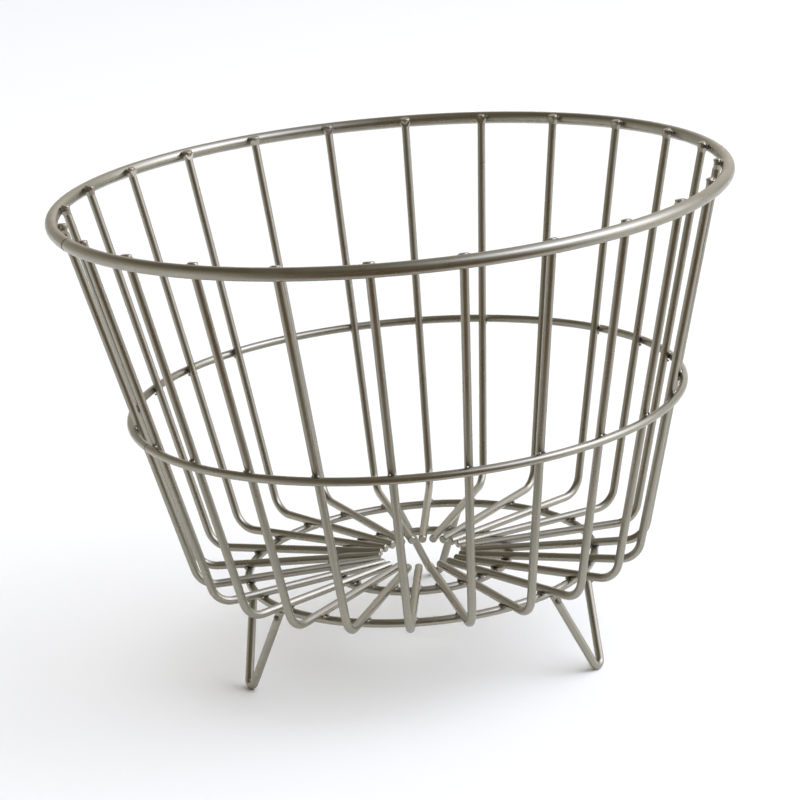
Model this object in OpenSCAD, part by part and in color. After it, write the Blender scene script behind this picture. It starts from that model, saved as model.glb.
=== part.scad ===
// Round wire basket on three hairpin legs. A heavy rim ring carries upright ribs that
// lean inwards, turn in under the basket and lie side by side as its floor. A hoop runs
// round the outside of the ribs, two rings tie the floor together from below, and the
// legs hang from the outer one.
// The axis of the basket is Z and the legs stand on Z = 0. The back leg points along +Y.
// Every wire is round, and lies in the saddles that spot welding presses where it crosses.

/* [Rim] */
// Diameter of the rim ring, from wire centre to wire centre
rim_d = 280; // [250:1:320]
// Diameter of the rim wire
rim_wire = 5.4; // [4:0.1:8]
// Height of the rim wire's centre above the table
rim_h = 202; // [170:0.5:240]

/* [Ribs] */
// Number of ribs, a multiple of three so that every leg stands under a rib
rib_count = 24; // [12:3:30]
// Diameter of the rib wire
rib_wire = 3.5; // [2.5:0.1:4.2]
// Height of the floor wires' centre above the table
floor_h = 41; // [30:0.5:60]
// Diameter at which the sides would meet the floor if the bends were sharp
floor_d = 191.5; // [175:0.5:210]
// Radius of the bend from side to floor, at the wire's centre
bend_r = 10; // [5:0.5:16]
// Diameter of the open circle between the inner ends of the ribs
hole_d = 35; // [32:1:60]
// Chamfer round each cut end of a rib
end_chamfer = 0.4; // [0.1:0.1:1]
// Diameter that a wire loses where it is drawn round a bend
bend_loss = 0.04; // [0.03:0.01:0.1]

/* [Rib heads] */
// Depth of the heads below the top of the rim wire
head_drop = 0.5; // [0:0.1:1.5]
// Distance that each side of a head is spread beyond the wire
head_spread = 0.8; // [0.3:0.1:1.2]
// Depth to which the inside of a head is pressed flat
head_press = 0.3; // [0.1:0.1:0.6]
// Length of a head
head_l = 4; // [3.5:0.5:8]
// Length over which a head widens
head_flare = 2; // [1:0.5:3]
// Depth of the slope across the inside of a head's top
head_slope = 1.6; // [0.5:0.1:2.5]

/* [Hoop] */
// Diameter of the hoop wire
hoop_wire = 3.5; // [2.5:0.1:4.5]
// Height of the hoop wire's centre above the table
hoop_h = 113; // [80:0.5:160]

/* [Floor rings] */
// Diameter of the base ring, from wire centre to wire centre
base_d = 149; // [120:1:165]
// Diameter of the base ring's wire
base_wire = 3.5; // [2.5:0.1:4.5]
// Diameter of the hub ring, from wire centre to wire centre
hub_d = 76; // [50:1:100]
// Diameter of the hub ring's wire
hub_wire = 3.5; // [2.5:0.1:4.5]

/* [Legs] */
// Diameter of the leg wire
leg_wire = 3.5; // [2.5:0.1:4.5]
// Distance that the tips of the legs stand out beyond the base ring
leg_splay = 10; // [0:0.5:25]
// Distance between the two prongs of a leg where they meet the base ring
leg_spread = 28.5; // [14:0.5:36]
// Radius of the bend at the tip of a leg, at the wire's centre
tip_r = 2.8; // [2.3:0.1:5]

/* [Welds] */
// Depth to which two crossing wires are pressed into each other
weld_sink = 0.3; // [0.1:0.05:0.6]
// Depth to which a prong's end is let into the base ring
prong_sink = 0.5; // [0.2:0.05:0.8]

/* [Hidden] */
leg_count = 3;
LEG_NAMES = ["leg_back", "leg_right", "leg_left"];
function rib_name(i) = str("rib_", i < 10 ? "0" : "", i);

satin_nickel = "#8f8a7f";
wire_fn = 32;
ring_fn = 192;
// Length by which a bend runs on inside the straight wires at its ends
bend_lap = 0.15;

// Angle from the vertical of a line that starts at one point and passes a second one,
// across and up from it, at the given distance
function lean_past(across, up, distance) =
    atan2(across, up) - asin(distance / norm([across, up]));

// Side of a rib: it starts at the sharp corner of the floor and passes inside the rim
rib_lean = lean_past((rim_d - floor_d) / 2, rim_h - floor_h,
                     (rim_wire + rib_wire) / 2 - weld_sink);
bend_cut = bend_r * tan((90 - rib_lean) / 2);
rib_top = rim_h + rim_wire / 2 - head_drop;
side_length = (rib_top - floor_h) / cos(rib_lean) - bend_cut;
floor_length = (floor_d - hole_d) / 2 - bend_cut;

// Heads: the weld spreads them sideways, and the electrode flattens the side away from the rim
head_r = rib_wire / 2 + head_spread;
head_face = rib_wire / 2 - head_press;

// Hoop: it touches the outside of the ribs at its own height
hoop_r = floor_d / 2 + (hoop_h - floor_h) * tan(rib_lean)
         + ((rib_wire + hoop_wire) / 2 - weld_sink) / cos(rib_lean);

// Floor rings: they touch the ribs from below
base_h = floor_h - (rib_wire + base_wire) / 2 + weld_sink;
hub_h = floor_h - (rib_wire + hub_wire) / 2 + weld_sink;

// Legs: each is a V in a plane that leans out from the base ring to the tip
tip_h = (leg_wire - bend_loss) / 2;
prong_r = sqrt(pow(base_d / 2, 2) - pow(leg_spread / 2, 2));
foot_r = base_d / 2 + leg_splay;
leg_rise = base_h - tip_h;
leg_reach = foot_r - prong_r;
leg_lean = atan2(leg_reach, leg_rise);
leg_length = norm([leg_reach, leg_rise]);
prong_lean = lean_past(leg_spread / 2, leg_length - tip_r, tip_r);
prong_length = sqrt(pow(leg_spread / 2, 2) + pow(leg_length - tip_r, 2) - pow(tip_r, 2))
               - base_wire / 2 + prong_sink;

// Closed ring of round wire, flat and centred on the Z axis at the given height
module wire_ring(d, wire, height) {
    translate([0, 0, height])
        rotate_extrude($fn = ring_fn)
            translate([d / 2, 0])
                circle(d = wire, $fn = wire_fn);
}

// Bend of round wire in the XY plane, from one angle through the given sweep
module wire_bend(r, wire, from, sweep) {
    lap = bend_lap / r * 180 / PI;
    rotate([0, 0, from - lap])
        rotate_extrude(angle = sweep + 2 * lap, $fn = ring_fn)
            translate([r, 0])
                circle(d = wire - bend_loss, $fn = wire_fn);
}

// Straight wire up the Z axis, with a chamfer round its far end
module wire_rod(wire, length, chamfer) {
    rotate_extrude($fn = wire_fn)
        polygon([[0, 0], [wire / 2, 0], [wire / 2, length - chamfer],
                 [wire / 2 - chamfer, length], [0, length]]);
}

// Side of a rib, up the Z axis, with the rim on its +X side. Its head is wide, flat on the
// inside and sloped at the top.
module rib_side() {
    difference() {
        rotate_extrude($fn = wire_fn)
            polygon([[0, 0], [rib_wire / 2, 0], [rib_wire / 2, side_length - head_l],
                     [head_r, side_length - head_l + head_flare],
                     [head_r, side_length - end_chamfer],
                     [head_r - end_chamfer, side_length], [0, side_length]]);
        translate([-head_face - head_r, 0, side_length])
            cube([2 * head_r, 4 * head_r, 2 * head_l], center = true);
        translate([-head_face, 0, side_length - head_slope])
            rotate([0, -45, 0])
                translate([-head_r, -2 * head_r, 0])
                    cube([4 * head_r, 4 * head_r, 2 * head_r]);
    }
}

module rim_ring() wire_ring(rim_d, rim_wire, rim_h);
module hoop_ring() wire_ring(2 * hoop_r, hoop_wire, hoop_h);
module base_floor_ring() wire_ring(base_d, base_wire, base_h);
module hub_floor_ring() wire_ring(hub_d, hub_wire, hub_h);

module rim() color(satin_nickel) rim_ring();
module mid_hoop() color(satin_nickel) hoop_ring();
module base_ring() color(satin_nickel) base_floor_ring();
module hub_ring() color(satin_nickel) hub_floor_ring();

// Rib along +X: straight side, bend and floor run
module rib_wire_form() {
    translate([floor_d / 2 - bend_cut, 0, floor_h + bend_r]) {
        translate([bend_r * cos(rib_lean), 0, -bend_r * sin(rib_lean)])
            rotate([0, rib_lean, 0])
                rib_side();
        rotate([90, 0, 0])
            wire_bend(bend_r, rib_wire, -90, 90 - rib_lean);
        translate([0, 0, -bend_r])
            rotate([0, -90, 0])
                wire_rod(rib_wire, floor_length, end_chamfer);
    }
}

// Rib number i, counted clockwise from the back as seen from above, with its weld saddles
module rib(i) {
    color(satin_nickel)
        rotate([0, 0, 90 - (i - 1) * 360 / rib_count])
            difference() {
                rib_wire_form();
                rim_ring();
                hoop_ring();
                base_floor_ring();
                hub_floor_ring();
            }
}

// Hairpin along +X: two prongs that meet in the bend at the tip
module hairpin() {
    translate([foot_r, 0, tip_h])
        rotate([0, -leg_lean, 0])
            translate([0, 0, tip_r]) {
                rotate([90, 0, 90])
                    wire_bend(tip_r, leg_wire, prong_lean - 180, 180 - 2 * prong_lean);
                for (side = [-1, 1])
                    translate([0, side * tip_r * cos(prong_lean), -tip_r * sin(prong_lean)])
                        rotate([-side * prong_lean, 0, 0])
                            cylinder(d = leg_wire, h = prong_length, $fn = wire_fn);
            }
}

// Leg number k, counted clockwise from the back, with its prongs seated on the base ring
module leg(k) {
    color(satin_nickel)
        rotate([0, 0, 90 - k * 360 / leg_count])
            difference() {
                hairpin();
                base_floor_ring();
            }
}

rim();
mid_hoop();
base_ring();
hub_ring();
for (k = [0:leg_count - 1])
    leg(k);
for (i = [1:rib_count])
    rib(i);
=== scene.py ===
"""Dresses a round wire fruit basket in satin nickel and sets up the studio round it.

The solids of the frame keep their places and shapes and get the finish of the wire. Added to
them are the weld metal that is squeezed out where the wires cross and the closing seams of
the rim and the hoop.
"""
import logging
import math
from dataclasses import dataclass
from enum import Enum
from typing import Any, Mapping, Optional

import bpy
from mathutils import Matrix, Vector


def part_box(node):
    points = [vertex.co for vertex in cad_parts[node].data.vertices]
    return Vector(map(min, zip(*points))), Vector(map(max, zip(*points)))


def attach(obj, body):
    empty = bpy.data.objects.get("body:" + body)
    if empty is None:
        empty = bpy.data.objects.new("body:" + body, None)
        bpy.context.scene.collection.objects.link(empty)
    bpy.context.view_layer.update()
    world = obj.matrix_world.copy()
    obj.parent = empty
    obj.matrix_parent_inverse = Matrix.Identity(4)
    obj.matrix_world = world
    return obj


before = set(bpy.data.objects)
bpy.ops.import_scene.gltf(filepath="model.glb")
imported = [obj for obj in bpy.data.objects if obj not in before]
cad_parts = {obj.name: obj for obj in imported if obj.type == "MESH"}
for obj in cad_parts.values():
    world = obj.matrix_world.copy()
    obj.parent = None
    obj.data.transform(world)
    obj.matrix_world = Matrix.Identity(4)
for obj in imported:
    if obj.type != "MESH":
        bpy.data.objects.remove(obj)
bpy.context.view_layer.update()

MM = 0.001
BODY = "root"
# Type names of the nodes that do sums
MATH = "ShaderNodeMath"
VECTOR_MATH = "ShaderNodeVectorMath"

# Ribs and legs of the frame
RIB_COUNT = 24
LEG_COUNT = 3
# Depth to which crossing wires are pressed into each other in the frame
WELD_SINK = 0.3 * MM
# Subdivisions of the ball that each bead of weld metal starts from
BEAD_DETAIL = 3
# Least and greatest share of its usual size that a bead has across, along and out
BEAD_LEAST = (0.75, 0.75, 0.85)
BEAD_MOST = (1.2, 1.2, 1.15)
# Size of the lumps on the beads
LUMP_SIZE = 0.9 * MM
# Steps of a seam's mesh round the wire, and round the section of its own band
SEAM_AROUND = 48
SEAM_ACROSS = 8
# Side in pixels of the picture that the camera's focal length is given for
IMAGE_SIDE = 800

log = logging.getLogger("wire_basket")


def linear(hex_colour: str) -> tuple[float, float, float, float]:
    """Turns an sRGB colour into the linear values that shaders take.

    Args:
        hex_colour: The colour as #rrggbb.

    Returns:
        Red, green, blue and an alpha of one.
    """
    channels = []
    for start in (1, 3, 5):
        value = int(hex_colour[start:start + 2], 16) / 255
        channels.append(value / 12.92 if value <= 0.04045 else ((value + 0.055) / 1.055) ** 2.4)
    return (*channels, 1.0)


def add_node(tree: bpy.types.NodeTree, kind: str, inputs: Optional[Mapping[Any, Any]] = None,
             **settings: Any) -> bpy.types.Node:
    """Adds one node to a tree, with its settings, values and links.

    Args:
        tree: The node tree that gets the node.
        kind: The node's type name.
        inputs: For each input, by name or number, a value or the output that feeds it.
        **settings: The node's own properties.

    Returns:
        The new node.
    """
    node = tree.nodes.new(kind)
    for name, value in settings.items():
        setattr(node, name, value)
    for key, value in (inputs or {}).items():
        if isinstance(value, bpy.types.NodeSocket):
            tree.links.new(value, node.inputs[key])
        else:
            node.inputs[key].default_value = value
    return node


def empty_material(name: str) -> bpy.types.Material:
    """Makes a material that has no nodes yet.

    Args:
        name: The material's name.

    Returns:
        The material.
    """
    material = bpy.data.materials.new(name)
    material.use_nodes = True
    material.node_tree.nodes.clear()
    return material


def add_object(name: str, data: bpy.types.ID) -> bpy.types.Object:
    """Makes an object and links it to the scene.

    Args:
        name: The object's name.
        data: Its mesh, light or camera.

    Returns:
        The object.
    """
    added = bpy.data.objects.new(name, data)
    bpy.context.scene.collection.objects.link(added)
    return added


def add_piece(name: str, mesh: bpy.types.Mesh) -> bpy.types.Object:
    """Makes a new piece on the basket's body.

    Args:
        name: The piece's name.
        mesh: Its mesh, with the piece's place in it.

    Returns:
        The piece.
    """
    piece = add_object(name, mesh)
    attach(piece, BODY)
    log.info("piece %s: %d faces", piece.name, len(mesh.polygons))
    return piece


def radial(azimuth: float) -> Vector:
    """Gives the level unit vector at an azimuth in degrees, clockwise from +Y seen from above."""
    angle = math.radians(azimuth)
    return Vector((math.sin(angle), math.cos(angle), 0.0))


class Crossing(Enum):
    """The kinds of weld metal, by where on the basket they are."""

    RIM = "rim"
    HEAD = "rib head"
    HOOP = "hoop"
    BASE = "base"
    HUB = "hub"
    LEG = "leg"


@dataclass(frozen=True)
class WireFinish:
    """Satin nickel plate on drawn steel wire.

    The plate follows the drawn wire under it, so the gloss is soft and even, with a fine grain,
    and the tone drifts a little between warm and cool along a wire.

    Attributes:
        name: The material's name.
        warm: The plate where it is thinnest and lets the yellow of the copper under it through.
        cool: The plate where it is thickest.
        roughness: The usual roughness of satin plate.
        roughness_drift: How far the roughness drifts either way.
        drift_low: Value of the noise at which the roughness is least.
        drift_high: Value of the noise at which the roughness is greatest.
        drift_mm: Size of the patches of tone and gloss.
        grain_mm: Size of the grain, drawn coarser than the real one so that it shows.
        grain_height_mm: Height of the grain.
    """

    name: str = "satin_nickel_on_drawn_wire"
    warm: str = "#9d9688"
    cool: str = "#9a998e"
    roughness: float = 0.3
    roughness_drift: float = 0.05
    drift_low: float = 0.3
    drift_high: float = 0.7
    drift_mm: float = 9.0
    grain_mm: float = 0.5
    grain_height_mm: float = 0.003

    def material(self) -> bpy.types.Material:
        """Builds the material.

        Returns:
            The finished material.
        """
        material = empty_material(self.name)
        tree = material.node_tree
        place = add_node(tree, "ShaderNodeTexCoord").outputs["Object"]
        drift = add_node(tree, "ShaderNodeTexNoise",
                         {"Vector": place, "Scale": 1 / (self.drift_mm * MM), "Detail": 2.0})
        tone = add_node(tree, "ShaderNodeMix",
                        {"Factor": drift.outputs["Fac"], "A": linear(self.warm),
                         "B": linear(self.cool)}, data_type="RGBA")
        gloss = add_node(tree, "ShaderNodeMapRange",
                         {"Value": drift.outputs["Fac"],
                          "From Min": self.drift_low, "From Max": self.drift_high,
                          "To Min": self.roughness - self.roughness_drift,
                          "To Max": self.roughness + self.roughness_drift})
        grain = add_node(tree, "ShaderNodeTexNoise",
                         {"Vector": place, "Scale": 1 / (self.grain_mm * MM), "Detail": 3.0})
        bump = add_node(tree, "ShaderNodeBump",
                        {"Height": grain.outputs["Fac"], "Distance": self.grain_height_mm * MM})
        surface = add_node(tree, "ShaderNodeBsdfPrincipled",
                           {"Base Color": tone.outputs["Result"], "Metallic": 1.0,
                            "Roughness": gloss.outputs["Result"], "Normal": bump.outputs["Normal"]})
        add_node(tree, "ShaderNodeOutputMaterial", {"Surface": surface.outputs["BSDF"]})
        return material


@dataclass(frozen=True)
class WeldFinish:
    """Weld metal under the same nickel plate.

    The plate is mottled, darker and paler in spots, and the metal under it is pitted. On the
    welds between wires at the floor, the legs and beside the rib heads, the dark tone is painted shade.

    Attributes:
        name: The material's name.
        dark_tone_and_shade: The darker tone of the spots; on the welds of the floor, the legs
            and beside the rib heads it is painted shade.
        smooth: The plate over bare weld metal.
        roughness: The roughness of the plate.
        spot_mm: Size of the spots.
        pit_mm: Depth of the pits.
    """

    name: str
    dark_tone_and_shade: str
    smooth: str
    roughness: float
    spot_mm: float
    pit_mm: float

    def material(self) -> bpy.types.Material:
        """Builds the material.

        Returns:
            The finished material.
        """
        material = empty_material(self.name)
        tree = material.node_tree
        place = add_node(tree, "ShaderNodeTexCoord").outputs["Object"]
        spots = add_node(tree, "ShaderNodeTexNoise",
                         {"Vector": place, "Scale": 1 / (self.spot_mm * MM), "Detail": 3.0})
        # Darker and paler spots; on the welds of the floor, the legs and beside the rib heads the
        # darker tone is painted shade
        tone = add_node(tree, "ShaderNodeMix",
                        {"Factor": spots.outputs["Fac"], "A": linear(self.dark_tone_and_shade),
                         "B": linear(self.smooth)}, data_type="RGBA")
        bump = add_node(tree, "ShaderNodeBump",
                        {"Height": spots.outputs["Fac"], "Distance": self.pit_mm * MM})
        surface = add_node(tree, "ShaderNodeBsdfPrincipled",
                           {"Base Color": tone.outputs["Result"], "Metallic": 1.0,
                            "Roughness": self.roughness, "Normal": bump.outputs["Normal"]})
        add_node(tree, "ShaderNodeOutputMaterial", {"Surface": surface.outputs["BSDF"]})
        return material


# Welds of the floor, left as they came: dark as painted shade of the crevices round the crossings, with
# pale spots between, and deep pits
SHADED_FLOOR_WELD = WeldFinish(name="plated_weld_metal", dark_tone_and_shade="#554b3e", smooth="#cfcac0",
                         roughness=0.36, spot_mm=1.1, pit_mm=0.12)
# Rib heads, which the electrode presses: nearly as even and glossy as the wire
CLEAN_WELD = WeldFinish(name="clean_plated_weld_metal", dark_tone_and_shade="#837c6e", smooth="#aea89c",
                        roughness=0.3, spot_mm=2.4, pit_mm=0.02)
# Welds of the hoop: small beads that catch the light as pale points
BRIGHT_WELD = WeldFinish(name="bright_plated_weld_metal", dark_tone_and_shade="#6b6355", smooth="#e0ddd6",
                         roughness=0.3, spot_mm=1.0, pit_mm=0.06)
# Welds of the legs: nearly black as painted shade where the prongs meet the base ring, rough and pitted
SHADED_LEG_WELD = WeldFinish(name="leg_weld_metal_painted_shade", dark_tone_and_shade="#2b251d", smooth="#a09889",
                        roughness=0.42, spot_mm=0.9, pit_mm=0.1)
# Butt seams, ground before they were plated: even, a little darker and duller than the wire
GROUND_SEAM = WeldFinish(name="plated_ground_seam", dark_tone_and_shade="#6b6354", smooth="#878071",
                         roughness=0.4, spot_mm=1.1, pit_mm=0.05)
# Metal squeezed out beside the rib heads: dull, and dark as painted shade of the crevice between head
# and rim, so that no window glints in it
SHADED_DULL_WELD = WeldFinish(name="dull_weld_metal_painted_shade", dark_tone_and_shade="#4b4438", smooth="#8c8679",
                       roughness=0.5, spot_mm=1.4, pit_mm=0.05)
# The finishes of the welds and seams, in the order in which their materials are made
WELD_METALS = (SHADED_FLOOR_WELD, CLEAN_WELD, BRIGHT_WELD, SHADED_LEG_WELD, GROUND_SEAM, SHADED_DULL_WELD)
# The finish of each kind of weld
METAL_AT = {Crossing.RIM: SHADED_DULL_WELD, Crossing.HEAD: CLEAN_WELD, Crossing.HOOP: BRIGHT_WELD,
            Crossing.BASE: SHADED_FLOOR_WELD, Crossing.HUB: SHADED_FLOOR_WELD, Crossing.LEG: SHADED_LEG_WELD}


@dataclass(frozen=True)
class Ring:
    """A ring of wire as the frame has it.

    Attributes:
        radius: Radius from the axis to the wire's centre, in metres.
        height: Height of the wire's centre, in metres.
        wire: Diameter of the wire, in metres.
    """

    radius: float
    height: float
    wire: float

    @classmethod
    def of(cls, node: str) -> "Ring":
        """Measures a ring of the frame.

        Args:
            node: The ring's node.

        Returns:
            The ring's sizes.
        """
        low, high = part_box(node)
        wire = high.z - low.z
        return cls((high.x - low.x - wire) / 2, (high.z + low.z) / 2, wire)


@dataclass(frozen=True)
class WeldRow:
    """Weld metal at regular crossings round the axis, one bead or a few at each.

    Attributes:
        name: Name of the piece.
        count: Number of crossings.
        radius: Distance of a crossing from the axis, in metres.
        height: Height of a crossing, in metres.
        pitch: Angle of a bead's outward axis above the level, in degrees.
        beads: Beads at each crossing, one, two or four.
        spread: Distances of a bead from the middle of its crossing, across and along, in metres.
        size: Half sizes of a bead across, along and outward, in metres.
        roughen: How far the metal is thrown up, in metres.
        seed: Seed of the beads' sizes.
        cut: Share of its half size at which a bead is flat on its outward side, one for round.
    """

    name: str
    count: int
    radius: float
    height: float
    pitch: float
    beads: int
    spread: tuple[float, float]
    size: tuple[float, float, float]
    roughen: float
    seed: int
    cut: float = 1.0

    def values(self) -> dict[str, tuple[str, Any]]:
        """Gives the tree's named inputs.

        Returns:
            For each name, the socket's type and value.
        """
        return {
            "Crossings": ("NodeSocketInt", self.count),
            "Radius": ("NodeSocketFloat", self.radius),
            "Height": ("NodeSocketFloat", self.height),
            "Pitch": ("NodeSocketFloat", math.radians(self.pitch)),
            "Beads": ("NodeSocketInt", self.beads),
            "Spread": ("NodeSocketVector", (*self.spread, 0.0)),
            "Bead Size": ("NodeSocketVector", self.size),
            "Roughen": ("NodeSocketFloat", self.roughen),
            "Seed": ("NodeSocketInt", self.seed),
            "Cut": ("NodeSocketFloat", self.cut),
        }

    def add_turn(self, tree: bpy.types.NodeTree, given: bpy.types.Node
                 ) -> tuple[bpy.types.NodeSocket, bpy.types.NodeSocket]:
        """Adds the nodes that turn each bead's outward axis away from the basket's, at the pitch.

        Args:
            tree: The geometry node tree.
            given: The node of its named inputs.

        Returns:
            Each bead's azimuth, and its turn.
        """
        index = add_node(tree, "GeometryNodeInputIndex").outputs["Index"]
        share = add_node(tree, MATH, {0: index, 1: given.outputs["Beads"]}, operation="DIVIDE")
        crossing = add_node(tree, MATH, {0: share.outputs[0]}, operation="FLOOR")
        part = add_node(tree, MATH, {0: crossing.outputs[0], 1: given.outputs["Crossings"]},
                        operation="DIVIDE")
        azimuth = add_node(tree, MATH, {0: part.outputs[0], 1: math.tau}, operation="MULTIPLY")
        back = add_node(tree, MATH, {0: azimuth.outputs[0], 1: -1.0}, operation="MULTIPLY")
        tilt = add_node(tree, MATH, {0: given.outputs["Pitch"], 1: math.pi / 2}, operation="SUBTRACT")
        turn = add_node(tree, "ShaderNodeCombineXYZ", {"X": tilt.outputs[0], "Z": back.outputs[0]})
        return azimuth.outputs[0], turn.outputs["Vector"]

    def add_offset(self, tree: bpy.types.NodeTree, given: bpy.types.Node,
                   turn: bpy.types.NodeSocket) -> bpy.types.NodeSocket:
        """Adds the nodes that set the beads apart, two side by side or four in a rectangle.

        Args:
            tree: The geometry node tree.
            given: The node of its named inputs.
            turn: Each bead's turn.

        Returns:
            How far each bead lies from the middle of its crossing.
        """
        index = add_node(tree, "GeometryNodeInputIndex").outputs["Index"]
        corner = add_node(tree, MATH, {0: index, 1: given.outputs["Beads"]}, operation="MODULO")
        column = add_node(tree, MATH, {0: corner.outputs[0], 1: 2.0}, operation="MODULO")
        half = add_node(tree, MATH, {0: corner.outputs[0], 1: 2.0}, operation="DIVIDE")
        line = add_node(tree, MATH, {0: half.outputs[0]}, operation="FLOOR")
        across = add_node(tree, MATH, {0: column.outputs[0], 1: 2.0, 2: -1.0}, operation="MULTIPLY_ADD")
        along = add_node(tree, MATH, {0: line.outputs[0], 1: 2.0, 2: -1.0}, operation="MULTIPLY_ADD")
        sides = add_node(tree, "ShaderNodeCombineXYZ", {"X": across.outputs[0], "Y": along.outputs[0]})
        offset = add_node(tree, VECTOR_MATH,
                          {0: given.outputs["Spread"], 1: sides.outputs["Vector"]},
                          operation="MULTIPLY")
        turned = add_node(tree, "ShaderNodeVectorRotate",
                          {"Vector": offset.outputs["Vector"], "Rotation": turn},
                          rotation_type="EULER_XYZ")
        return turned.outputs["Vector"]

    def add_points(self, tree: bpy.types.NodeTree, given: bpy.types.Node,
                   azimuth: bpy.types.NodeSocket, offset: bpy.types.NodeSocket) -> bpy.types.NodeSocket:
        """Adds the nodes that make a point for each bead.

        Args:
            tree: The geometry node tree.
            given: The node of its named inputs.
            azimuth: Each bead's azimuth.
            offset: How far each bead lies from the middle of its crossing.

        Returns:
            The points.
        """
        sine = add_node(tree, MATH, {0: azimuth}, operation="SINE")
        cosine = add_node(tree, MATH, {0: azimuth}, operation="COSINE")
        x = add_node(tree, MATH, {0: given.outputs["Radius"], 1: sine.outputs[0]}, operation="MULTIPLY")
        y = add_node(tree, MATH, {0: given.outputs["Radius"], 1: cosine.outputs[0]},
                     operation="MULTIPLY")
        middle = add_node(tree, "ShaderNodeCombineXYZ",
                          {"X": x.outputs[0], "Y": y.outputs[0], "Z": given.outputs["Height"]})
        place = add_node(tree, VECTOR_MATH, {0: middle.outputs["Vector"], 1: offset}, operation="ADD")
        total = add_node(tree, MATH, {0: given.outputs["Crossings"], 1: given.outputs["Beads"]},
                         operation="MULTIPLY")
        points = add_node(tree, "GeometryNodePoints",
                          {"Count": total.outputs[0], "Position": place.outputs["Vector"]})
        return points.outputs["Points"]

    def add_bead(self, tree: bpy.types.NodeTree, given: bpy.types.Node) -> bpy.types.NodeSocket:
        """Adds the nodes that make one bead, a ball of radius one that is flat above the cut.

        Args:
            tree: The geometry node tree.
            given: The node of its named inputs.

        Returns:
            The bead.
        """
        ball = add_node(tree, "GeometryNodeMeshIcoSphere", {"Radius": 1.0, "Subdivisions": BEAD_DETAIL})
        where = add_node(tree, "GeometryNodeInputPosition").outputs["Position"]
        apart = add_node(tree, "ShaderNodeSeparateXYZ", {"Vector": where}).outputs
        low = add_node(tree, MATH, {0: apart["Z"], 1: given.outputs["Cut"]}, operation="MINIMUM")
        level = add_node(tree, "ShaderNodeCombineXYZ",
                         {"X": apart["X"], "Y": apart["Y"], "Z": low.outputs[0]})
        shaped = add_node(tree, "GeometryNodeSetPosition",
                          {"Geometry": ball.outputs["Mesh"], "Position": level.outputs["Vector"]})
        return shaped.outputs["Geometry"]

    def add_lumps(self, tree: bpy.types.NodeTree, given: bpy.types.Node,
                  beads: bpy.types.NodeSocket) -> bpy.types.NodeSocket:
        """Adds the nodes that make the beads lumpy.

        Args:
            tree: The geometry node tree.
            given: The node of its named inputs.
            beads: The beads.

        Returns:
            The lumpy beads.
        """
        lump = add_node(tree, "ShaderNodeTexNoise", {"Scale": 1 / LUMP_SIZE, "Detail": 1.0})
        rise = add_node(tree, MATH, {0: lump.outputs["Fac"], 1: 0.5}, operation="SUBTRACT")
        reach = add_node(tree, MATH, {0: given.outputs["Roughen"], 1: 2.0}, operation="MULTIPLY")
        throw = add_node(tree, MATH, {0: rise.outputs[0], 1: reach.outputs[0]}, operation="MULTIPLY")
        normal = add_node(tree, "GeometryNodeInputNormal").outputs["Normal"]
        push = add_node(tree, VECTOR_MATH, {0: normal, "Scale": throw.outputs[0]}, operation="SCALE")
        lumpy = add_node(tree, "GeometryNodeSetPosition",
                         {"Geometry": beads, "Offset": push.outputs["Vector"]})
        return lumpy.outputs["Geometry"]

    def tree(self, metal: bpy.types.Material) -> bpy.types.NodeTree:
        """Builds the node tree that sets the beads.

        Args:
            metal: Material of the beads.

        Returns:
            The geometry node tree.
        """
        tree = bpy.data.node_groups.new(self.name, "GeometryNodeTree")
        for name, (kind, _) in self.values().items():
            tree.interface.new_socket(name, in_out="INPUT", socket_type=kind)
        tree.interface.new_socket("Geometry", in_out="OUTPUT", socket_type="NodeSocketGeometry")
        given = add_node(tree, "NodeGroupInput")
        azimuth, turn = self.add_turn(tree, given)
        offset = self.add_offset(tree, given, turn)
        points = self.add_points(tree, given, azimuth, offset)
        bead = self.add_bead(tree, given)
        vary = add_node(tree, "FunctionNodeRandomValue",
                        {"Min": BEAD_LEAST, "Max": BEAD_MOST, "Seed": given.outputs["Seed"]},
                        data_type="FLOAT_VECTOR")
        size = add_node(tree, VECTOR_MATH,
                        {0: given.outputs["Bead Size"], 1: vary.outputs["Value"]},
                        operation="MULTIPLY")
        beads = add_node(tree, "GeometryNodeInstanceOnPoints",
                         {"Points": points, "Instance": bead, "Rotation": turn,
                          "Scale": size.outputs["Vector"]})
        real = add_node(tree, "GeometryNodeRealizeInstances", {"Geometry": beads.outputs["Instances"]})
        lumpy = self.add_lumps(tree, given, real.outputs["Geometry"])
        smooth = add_node(tree, "GeometryNodeSetShadeSmooth", {"Geometry": lumpy})
        dressed = add_node(tree, "GeometryNodeSetMaterial",
                           {"Geometry": smooth.outputs["Geometry"], "Material": metal})
        add_node(tree, "NodeGroupOutput", {"Geometry": dressed.outputs["Geometry"]})
        return tree

    def build(self, metal: bpy.types.Material) -> bpy.types.Object:
        """Runs the tree and turns its result into a plain piece.

        Args:
            metal: Material of the beads.

        Returns:
            The piece, riding on the basket.
        """
        carrier = add_object(self.name + "_carrier", bpy.data.meshes.new(self.name + "_carrier"))
        tree = self.tree(metal)
        modifier = carrier.modifiers.new("welds", "NODES")
        modifier.node_group = tree
        sockets = {item.name: item.identifier for item in tree.interface.items_tree}
        for name, (_, value) in self.values().items():
            modifier[sockets[name]] = value
        bpy.context.view_layer.update()
        evaluated = carrier.evaluated_get(bpy.context.evaluated_depsgraph_get())
        mesh = bpy.data.meshes.new_from_object(evaluated)
        carrier.modifiers.remove(modifier)
        bpy.data.objects.remove(carrier)
        mesh.name = self.name
        return add_piece(self.name, mesh)


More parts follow.
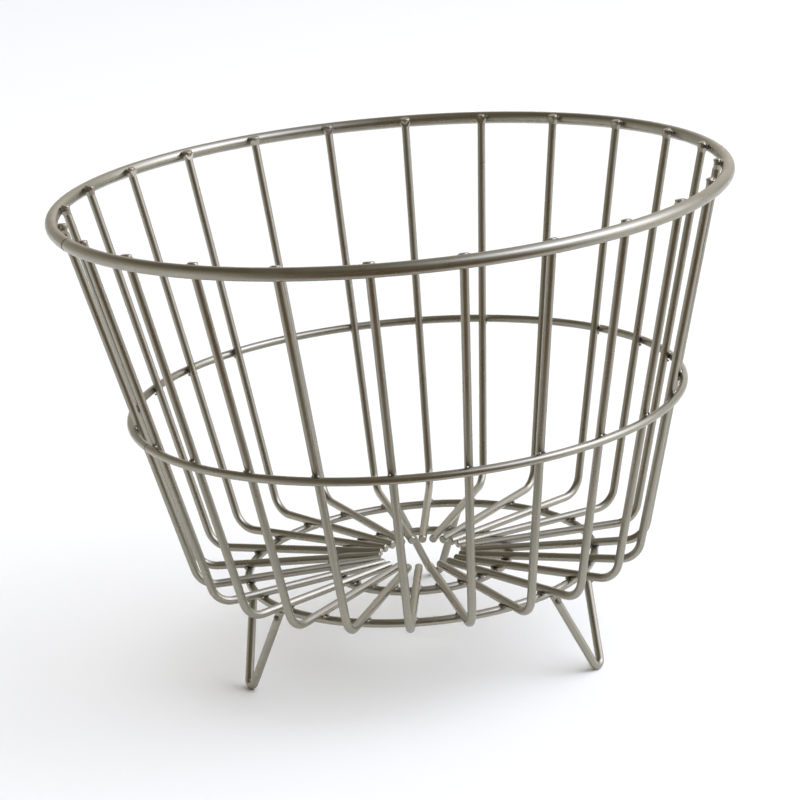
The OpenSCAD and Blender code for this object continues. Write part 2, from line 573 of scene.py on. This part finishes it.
@dataclass(frozen=True)
class Seam:
    """The closing seam of a ring: a low band of weld metal round the wire, ground nearly flush.

    Attributes:
        name: Name of the piece.
        ring: The ring that it closes.
        azimuth: Its place round the ring, in degrees.
        width: Width of the band, in metres.
        rise: How far it stands out of the wire, in metres.
    """

    name: str
    ring: Ring
    azimuth: float
    width: float
    rise: float

    def build(self, metal: bpy.types.Material) -> bpy.types.Object:
        """Builds the band as a closed ring round the wire.

        Args:
            metal: Material of the band.

        Returns:
            The piece, riding on the basket.
        """
        outward = radial(self.azimuth)
        along = radial(self.azimuth + 90)
        up = Vector((0.0, 0.0, 1.0))
        middle = outward * self.ring.radius + up * self.ring.height
        inner = self.ring.wire / 2 - self.rise
        points = []
        for i in range(SEAM_AROUND):
            angle = math.tau * i / SEAM_AROUND
            spoke = outward * math.cos(angle) + up * math.sin(angle)
            for j in range(SEAM_ACROSS):
                bulge = math.tau * j / SEAM_ACROSS
                reach = inner + 2 * self.rise * (0.5 + 0.5 * math.sin(bulge))
                points.append(middle + spoke * reach + along * (self.width / 2 * math.cos(bulge)))
        faces = []
        for i in range(SEAM_AROUND):
            here = i * SEAM_ACROSS
            there = (i + 1) % SEAM_AROUND * SEAM_ACROSS
            for j in range(SEAM_ACROSS):
                after = (j + 1) % SEAM_ACROSS
                faces.append((here + j, there + j, there + after, here + after))
        mesh = bpy.data.meshes.new(self.name)
        mesh.from_pydata(points, [], faces)
        mesh.shade_smooth()
        mesh.materials.append(metal)
        return add_piece(self.name, mesh)


@dataclass(frozen=True)
class Basket:
    """The basket: its wires, welds and seams. Distances are in metres.

    Attributes:
        rim: The heavy ring at the mouth.
        hoop: The ring round the outside.
        base: The outer ring under the floor.
        hub: The inner ring under the floor.
        rib_lean: Lean of the ribs' sides from the vertical, in degrees.
        leg_lean: Lean of the legs from the vertical, in degrees.
        flash_pitch: Angle above the level of the metal beside the rib heads, in degrees.
        flash_up: Height of the metal beside the rib heads above the rim wire's centre.
        cap_in: Distance from the rim wire's inside to the middle of a head's cap.
        cap_up: Height of the middle of a head's cap above the rim wire's centre.
        cap_pitch: Angle above the level that a head's cap faces, in degrees.
        leg_weld_out: Distance of the legs' welds outside the base ring's centre.
        leg_weld_down: Depth of the legs' welds below the base ring's centre.
        leg_weld_in: Distance of the legs' welds inside the prongs' centres.
    """

    rim: Ring
    hoop: Ring
    base: Ring
    hub: Ring
    rib_lean: float = 14.0
    leg_lean: float = 17.5
    flash_pitch: float = 14.0
    flash_up: float = 0.8 * MM
    cap_in: float = 1.5 * MM
    cap_up: float = 1.15 * MM
    cap_pitch: float = 98.0
    leg_weld_out: float = 2.3 * MM
    leg_weld_down: float = 3.9 * MM
    leg_weld_in: float = 0.25 * MM

    @classmethod
    def measured(cls) -> "Basket":
        """Takes the sizes of the rings from the frame."""
        return cls(Ring.of("rim"), Ring.of("mid_hoop"), Ring.of("base_ring"), Ring.of("hub_ring"))

    def dress_wires(self, nickel: bpy.types.Material) -> None:
        """Gives every wire of the frame its finish.

        Args:
            nickel: The wires' material.
        """
        for name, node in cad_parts.items():
            for place in node.material_slots:
                place.material = nickel
            log.info("dressed %s", name)

    def rim_welds(self) -> WeldRow:
        """Works out the metal that is squeezed out on both sides of each rib head.

        Returns:
            The row of welds.
        """
        return WeldRow(
            name="rim_weld_flash", count=RIB_COUNT,
            radius=self.rim.radius - self.rim.wire / 2, height=self.rim.height + self.flash_up,
            pitch=self.flash_pitch, beads=2, spread=(2.0 * MM, 0.0),
            size=(0.8 * MM, 1.3 * MM, 0.85 * MM), roughen=0.1 * MM, seed=3)

    def head_caps(self) -> WeldRow:
        """Works out the flat cap on each rib head.

        Returns:
            The row of caps.
        """
        return WeldRow(
            name="rib_head_caps", count=RIB_COUNT,
            radius=self.rim.radius - self.rim.wire / 2 - self.cap_in,
            height=self.rim.height + self.cap_up,
            pitch=self.cap_pitch, beads=1, spread=(0.0, 0.0),
            size=(2.1 * MM, 1.8 * MM, 3.6 * MM), roughen=0.05 * MM, seed=4, cut=0.33)

    def hoop_welds(self) -> WeldRow:
        """Works out the metal in the four corners where each rib crosses the hoop.

        Returns:
            The row of welds.
        """
        return WeldRow(
            name="hoop_weld_flash", count=RIB_COUNT,
            radius=self.hoop.radius - self.hoop.wire / 2 + WELD_SINK / 2, height=self.hoop.height,
            pitch=-self.rib_lean, beads=4, spread=(1.0 * MM, 1.7 * MM),
            size=(0.7 * MM, 0.6 * MM, 0.6 * MM), roughen=0.2 * MM, seed=5)

    def floor_welds(self, name: str, ring: Ring, seed: int) -> WeldRow:
        """Works out the metal in the four corners where each rib crosses a ring of the floor.

        Args:
            name: Name of the piece.
            ring: The ring under the floor.
            seed: Seed of the beads' sizes.

        Returns:
            The row of welds.
        """
        return WeldRow(
            name=name, count=RIB_COUNT,
            radius=ring.radius, height=ring.height + ring.wire / 2 - WELD_SINK / 2,
            pitch=90.0, beads=4, spread=(1.3 * MM, 1.3 * MM),
            size=(0.75 * MM, 0.75 * MM, 0.45 * MM), roughen=0.25 * MM, seed=seed)

    def leg_welds(self) -> WeldRow:
        """Works out the weld at the top of each prong.

        Returns:
            The row of welds.
        """
        low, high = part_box("leg_back")
        # Half the distance between the prongs' centres. Their wire is as thick as the base ring's
        prong = (high.x - low.x) / 2 - self.base.wire / 2
        return WeldRow(
            name="leg_weld_flash", count=LEG_COUNT,
            radius=math.sqrt(self.base.radius ** 2 - prong ** 2) + self.leg_weld_out,
            height=self.base.height - self.leg_weld_down,
            pitch=self.leg_lean, beads=2, spread=(prong - self.leg_weld_in, 0.0),
            size=(1.5 * MM, 1.5 * MM, 1.2 * MM), roughen=0.35 * MM, seed=11)

    def weld_rows(self) -> dict[Crossing, WeldRow]:
        """Gives the row of welds for each kind of crossing.

        Returns:
            The rows, in the order in which they are built.
        """
        return {
            Crossing.RIM: self.rim_welds(),
            Crossing.HEAD: self.head_caps(),
            Crossing.HOOP: self.hoop_welds(),
            Crossing.BASE: self.floor_welds("base_weld_flash", self.base, 7),
            Crossing.HUB: self.floor_welds("hub_weld_flash", self.hub, 9),
            Crossing.LEG: self.leg_welds(),
        }

    def seams(self) -> tuple[Seam, ...]:
        """Gives the closing seams of the rim and the hoop, where the photograph shows them.

        Returns:
            The two seams.
        """
        return (Seam(name="rim_seam", ring=self.rim, azimuth=242.9, width=0.6 * MM, rise=0.13 * MM),
                Seam(name="hoop_seam", ring=self.hoop, azimuth=242.0, width=0.6 * MM, rise=0.1 * MM))

    def build(self) -> None:
        """Dresses the wires and builds the welds and the seams."""
        self.dress_wires(WireFinish().material())
        metals = {finish: finish.material() for finish in WELD_METALS}
        for kind, row in self.weld_rows().items():
            log.info("welds at the %s", kind.value)
            row.build(metals[METAL_AT[kind]])
        for seam in self.seams():
            seam.build(metals[GROUND_SEAM])


@dataclass(frozen=True)
class SoftLight:
    """One soft light of the studio, as a round patch of brightness that fades to its edge.

    Attributes:
        name: What it stands for.
        azimuth: Its direction, clockwise from +Y seen from above, in degrees.
        elevation: Its height above the level, in degrees.
        tightness: How quickly it fades away from its middle.
        colour: Its colour.
        strength: Its brightness at the middle.
    """

    name: str
    azimuth: float
    elevation: float
    tightness: float
    colour: str
    strength: float

    def direction(self) -> Vector:
        """Gives the unit vector from the basket to the light."""
        level = math.cos(math.radians(self.elevation))
        return radial(self.azimuth) * level + Vector((0.0, 0.0, math.sin(math.radians(self.elevation))))


@dataclass(frozen=True)
class Sheet:
    """A level sheet of the studio.

    Attributes:
        name: Its name.
        left: Its least x, in metres.
        front: Its least y, in metres.
        right: Its greatest x, in metres.
        back: Its greatest y, in metres.
        height: Its height, in metres.
    """

    name: str
    left: float
    front: float
    right: float
    back: float
    height: float

    def lay(self, material: bpy.types.Material) -> bpy.types.Object:
        """Lays the sheet.

        Args:
            material: Its material.

        Returns:
            The sheet's object.
        """
        corners = [(self.left, self.front, self.height), (self.right, self.front, self.height),
                   (self.right, self.back, self.height), (self.left, self.back, self.height)]
        mesh = bpy.data.meshes.new(self.name)
        mesh.from_pydata(corners, [], [(0, 1, 2, 3)])
        mesh.materials.append(material)
        return add_object(self.name, mesh)


@dataclass(frozen=True)
class Studio:
    """The floor, the light and the camera.

    Attributes:
        lights: The soft lights.
        fill: Colour of the light from everywhere.
        fill_strength: Brightness of the light from everywhere.
        backdrop: Colour that the camera sees beyond the floor.
        floor_colour: Colour of the floor.
        floor_side: Side of the floor, in metres.
        card_colour: Colour of the dark card in front, which only the wires mirror.
        card_width: Width of the card, in metres.
        card_depth: Depth of the card, in metres.
        card_height: Height of the card above the floor, in metres.
        card_gap: Distance from the basket's axis to the card, in metres.
        card_fade: Depth over which the card fades in from its edge next to the basket, in metres.
        card_middle: Place of the middle of its dark part to the right of the axis, in metres.
        card_dark_until: Distance aside for one metre in front up to which it is fully dark.
        card_gone_from: Distance aside for one metre in front where it has faded out.
        lamp_power: Power of the lamp that lights the floor alone, in watts.
        lamp_size: Side of the lamp, in metres.
        lamp_place: Place of the lamp, in metres.
        lamp_colour: Linear red, green and blue of the lamp.
        distance: Distance of the camera from the point that it turns about, in metres.
        aim_height: Height of that point, in metres.
        elevation: Height of the camera above the level, in degrees.
        azimuth: Place of the camera from the front towards +X, in degrees.
        roll: Lean of the camera, in degrees.
        pan: Turn of the camera to the right, in degrees.
        tilt: Turn of the camera upwards, in degrees.
        focal_px: Focal length in pixels of the picture.
        nearest: Distance from which the camera sees, in metres.
        farthest: Distance up to which the camera sees, in metres.
    """

    lights: tuple[SoftLight, ...]
    fill: str = "#f8e6bc"
    fill_strength: float = 0.115
    backdrop: str = "#ffffff"
    floor_colour: str = "#f6f6f2"
    floor_side: float = 12.0
    card_colour: str = "#78654a"
    card_width: float = 11.8
    card_depth: float = 3.0
    card_height: float = 0.0005
    card_gap: float = 0.12
    card_fade: float = 0.17
    card_middle: float = 0.15
    card_dark_until: float = 0.35
    card_gone_from: float = 2.3
    lamp_power: float = 18.5
    lamp_size: float = 2.6
    lamp_place: tuple[float, float, float] = (0.9, 0.3, 1.9)
    lamp_colour: tuple[float, float, float] = (0.985, 0.99, 1.0)
    distance: float = 1.2371
    aim_height: float = 0.1034
    elevation: float = 16.81
    azimuth: float = 4.2
    roll: float = -4.95
    pan: float = -0.171
    tilt: float = 0.288
    focal_px: float = 2916.4
    nearest: float = 0.01
    farthest: float = 50.0

    def build_camera(self) -> None:
        """Sets the camera at the photograph's viewing angle."""
        camera = bpy.data.cameras.new("studio_camera")
        camera.lens = camera.sensor_width * self.focal_px / IMAGE_SIDE
        camera.clip_start = self.nearest
        camera.clip_end = self.farthest
        stand = add_object("studio_camera", camera)
        place = -radial(-self.azimuth) * self.distance * math.cos(math.radians(self.elevation))
        place.z = self.aim_height + self.distance * math.sin(math.radians(self.elevation))
        turn = (Matrix.Rotation(math.radians(self.azimuth), 4, "Z")
                @ Matrix.Rotation(math.radians(90 - self.elevation), 4, "X")
                @ Matrix.Rotation(math.radians(self.roll), 4, "Z")
                @ Matrix.Rotation(math.radians(-self.pan), 4, "Y")
                @ Matrix.Rotation(math.radians(self.tilt), 4, "X"))
        stand.matrix_world = Matrix.Translation(place) @ turn
        bpy.context.scene.camera = stand

    def floor_material(self) -> bpy.types.Material:
        """Builds the floor's plain matt paint.

        Returns:
            The finished material.
        """
        material = empty_material("studio_floor")
        tree = material.node_tree
        matt = add_node(tree, "ShaderNodeBsdfDiffuse", {"Color": linear(self.floor_colour)})
        add_node(tree, "ShaderNodeOutputMaterial", {"Surface": matt.outputs["BSDF"]})
        return material

    def card_material(self) -> bpy.types.Material:
        """Builds the card's matt brown, which fades out to the sides and towards the basket.

        Hard edges there would show as lines in the metal.

        Returns:
            The finished material.
        """
        material = empty_material("dark_card")
        tree = material.node_tree
        place = add_node(tree, "ShaderNodeTexCoord").outputs["Object"]
        apart = add_node(tree, "ShaderNodeSeparateXYZ", {"Vector": place}).outputs
        aside = add_node(tree, MATH, {0: apart["X"], 1: self.card_middle}, operation="SUBTRACT")
        outward = add_node(tree, MATH, {0: aside.outputs[0]}, operation="ABSOLUTE")
        ahead = add_node(tree, MATH, {0: apart["Y"], 1: -1.0}, operation="MULTIPLY")
        slant = add_node(tree, MATH, {0: outward.outputs[0], 1: ahead.outputs[0]}, operation="DIVIDE")
        beyond = add_node(tree, "ShaderNodeMapRange",
                          {"Value": slant.outputs[0], "From Min": self.card_dark_until,
                           "From Max": self.card_gone_from}, interpolation_type="SMOOTHSTEP")
        near = add_node(tree, "ShaderNodeMapRange",
                        {"Value": apart["Y"], "From Min": -self.card_gap - self.card_fade,
                         "From Max": -self.card_gap}, interpolation_type="SMOOTHSTEP")
        gone = add_node(tree, MATH, {0: beyond.outputs["Result"], 1: near.outputs["Result"]},
                        operation="MAXIMUM")
        matt = add_node(tree, "ShaderNodeBsdfDiffuse", {"Color": linear(self.card_colour)})
        clear = add_node(tree, "ShaderNodeBsdfTransparent")
        both = add_node(tree, "ShaderNodeMixShader",
                        {0: gone.outputs[0], 1: matt.outputs["BSDF"], 2: clear.outputs["BSDF"]})
        add_node(tree, "ShaderNodeOutputMaterial", {"Surface": both.outputs[0]})
        return material

    def build_floor(self) -> None:
        """Lays the pale floor, and the card in front that the camera doesn't see."""
        half = self.floor_side / 2
        floor = Sheet(name="studio_floor", left=-half, front=-half, right=half, back=half,
                      height=0.0).lay(self.floor_material())
        card = Sheet(name="dark_card", left=-self.card_width / 2,
                     front=-self.card_gap - self.card_depth, right=self.card_width / 2,
                     back=-self.card_gap, height=self.card_height).lay(self.card_material())
        card.visible_camera = False
        card.visible_diffuse = False
        card.visible_shadow = False

    def build_lamp(self) -> None:
        """Hangs the lamp that lights the floor alone, because the metal mirrors only the room."""
        light = bpy.data.lights.new("floor_lamp", "AREA")
        light.energy = self.lamp_power
        light.size = self.lamp_size
        light.color = self.lamp_colour
        lamp = add_object("floor_lamp", light)
        lamp.location = self.lamp_place
        lamp.rotation_euler = (-Vector(self.lamp_place)).to_track_quat("-Z", "Y").to_euler()
        lamp.visible_glossy = False
        lamp.visible_camera = False

    def build_light(self) -> None:
        """Lights the studio with the sum of its soft lights."""
        world = bpy.data.worlds.new("studio_light")
        bpy.context.scene.world = world
        world.use_nodes = True
        tree = world.node_tree
        tree.nodes.clear()
        view = add_node(tree, "ShaderNodeTexCoord").outputs["Generated"]
        way = add_node(tree, VECTOR_MATH, {0: view}, operation="NORMALIZE").outputs["Vector"]
        red, green, blue = (channel * self.fill_strength for channel in linear(self.fill)[:3])
        total = add_node(tree, "ShaderNodeCombineXYZ", {"X": red, "Y": green, "Z": blue})
        for light in self.lights:
            facing = add_node(tree, VECTOR_MATH, {0: way, 1: light.direction()},
                              operation="DOT_PRODUCT")
            away = add_node(tree, MATH, {0: facing.outputs["Value"], 1: 1.0}, operation="SUBTRACT")
            fade = add_node(tree, MATH, {0: away.outputs[0], 1: light.tightness}, operation="MULTIPLY")
            glow = add_node(tree, MATH, {0: fade.outputs[0]}, operation="EXPONENT")
            colour = [channel * light.strength for channel in linear(light.colour)[:3]]
            lit = add_node(tree, VECTOR_MATH, {0: colour, "Scale": glow.outputs[0]}, operation="SCALE")
            total = add_node(tree, VECTOR_MATH,
                             {0: total.outputs["Vector"], 1: lit.outputs["Vector"]}, operation="ADD")
        studio = add_node(tree, "ShaderNodeBackground", {"Color": total.outputs["Vector"]})
        plain = add_node(tree, "ShaderNodeBackground", {"Color": linear(self.backdrop)})
        seen = add_node(tree, "ShaderNodeLightPath").outputs["Is Camera Ray"]
        both = add_node(tree, "ShaderNodeMixShader",
                        {0: seen, 1: studio.outputs[0], 2: plain.outputs[0]})
        add_node(tree, "ShaderNodeOutputWorld", {"Surface": both.outputs[0]})

    def build(self) -> None:
        """Sets up the whole studio."""
        bpy.context.scene.view_settings.view_transform = "Standard"
        self.build_camera()
        self.build_floor()
        self.build_lamp()
        self.build_light()


# Name, azimuth, elevation, tightness, colour and strength of each light
LIGHTS = (
    SoftLight("window on the right", 88.0, 41.0, 17.0, "#dfe6ff", 4.0),
    SoftLight("window behind it", 38.0, 51.0, 28.0, "#dfe6ff", 1.7),
    SoftLight("window before it", 120.0, 43.0, 16.0, "#e2e9ff", 3.0),
    SoftLight("sill on the right", 88.0, 13.0, 7.5, "#fbf9ff", 1.8),
    SoftLight("bright side of the room", 80.0, 22.0, 3.2, "#fdfbf4", 0.3),
    SoftLight("pale wall behind", 10.0, 12.0, 7.0, "#fffcf4", 0.88),
    SoftLight("pale wall on the left, far end", 312.0, 6.0, 9.0, "#fffdf6", 0.45),
    SoftLight("pale wall on the left, middle", 275.0, 4.0, 10.0, "#fffdf2", 0.42),
    SoftLight("pale wall on the left, near end", 240.0, 3.0, 10.0, "#fffcf0", 0.42),
    SoftLight("brown room in front", 185.0, 0.0, 6.0, "#ffd28c", 0.07),
    SoftLight("ceiling in front", 180.0, 78.0, 6.0, "#f9f2d8", 0.2),
)


def main() -> None:
    """Builds the studio and dresses the basket."""
    logging.basicConfig(level=logging.INFO, format="%(name)s: %(message)s")
    Studio(LIGHTS).build()
    Basket.measured().build()


if __name__ == "__main__":
    main()
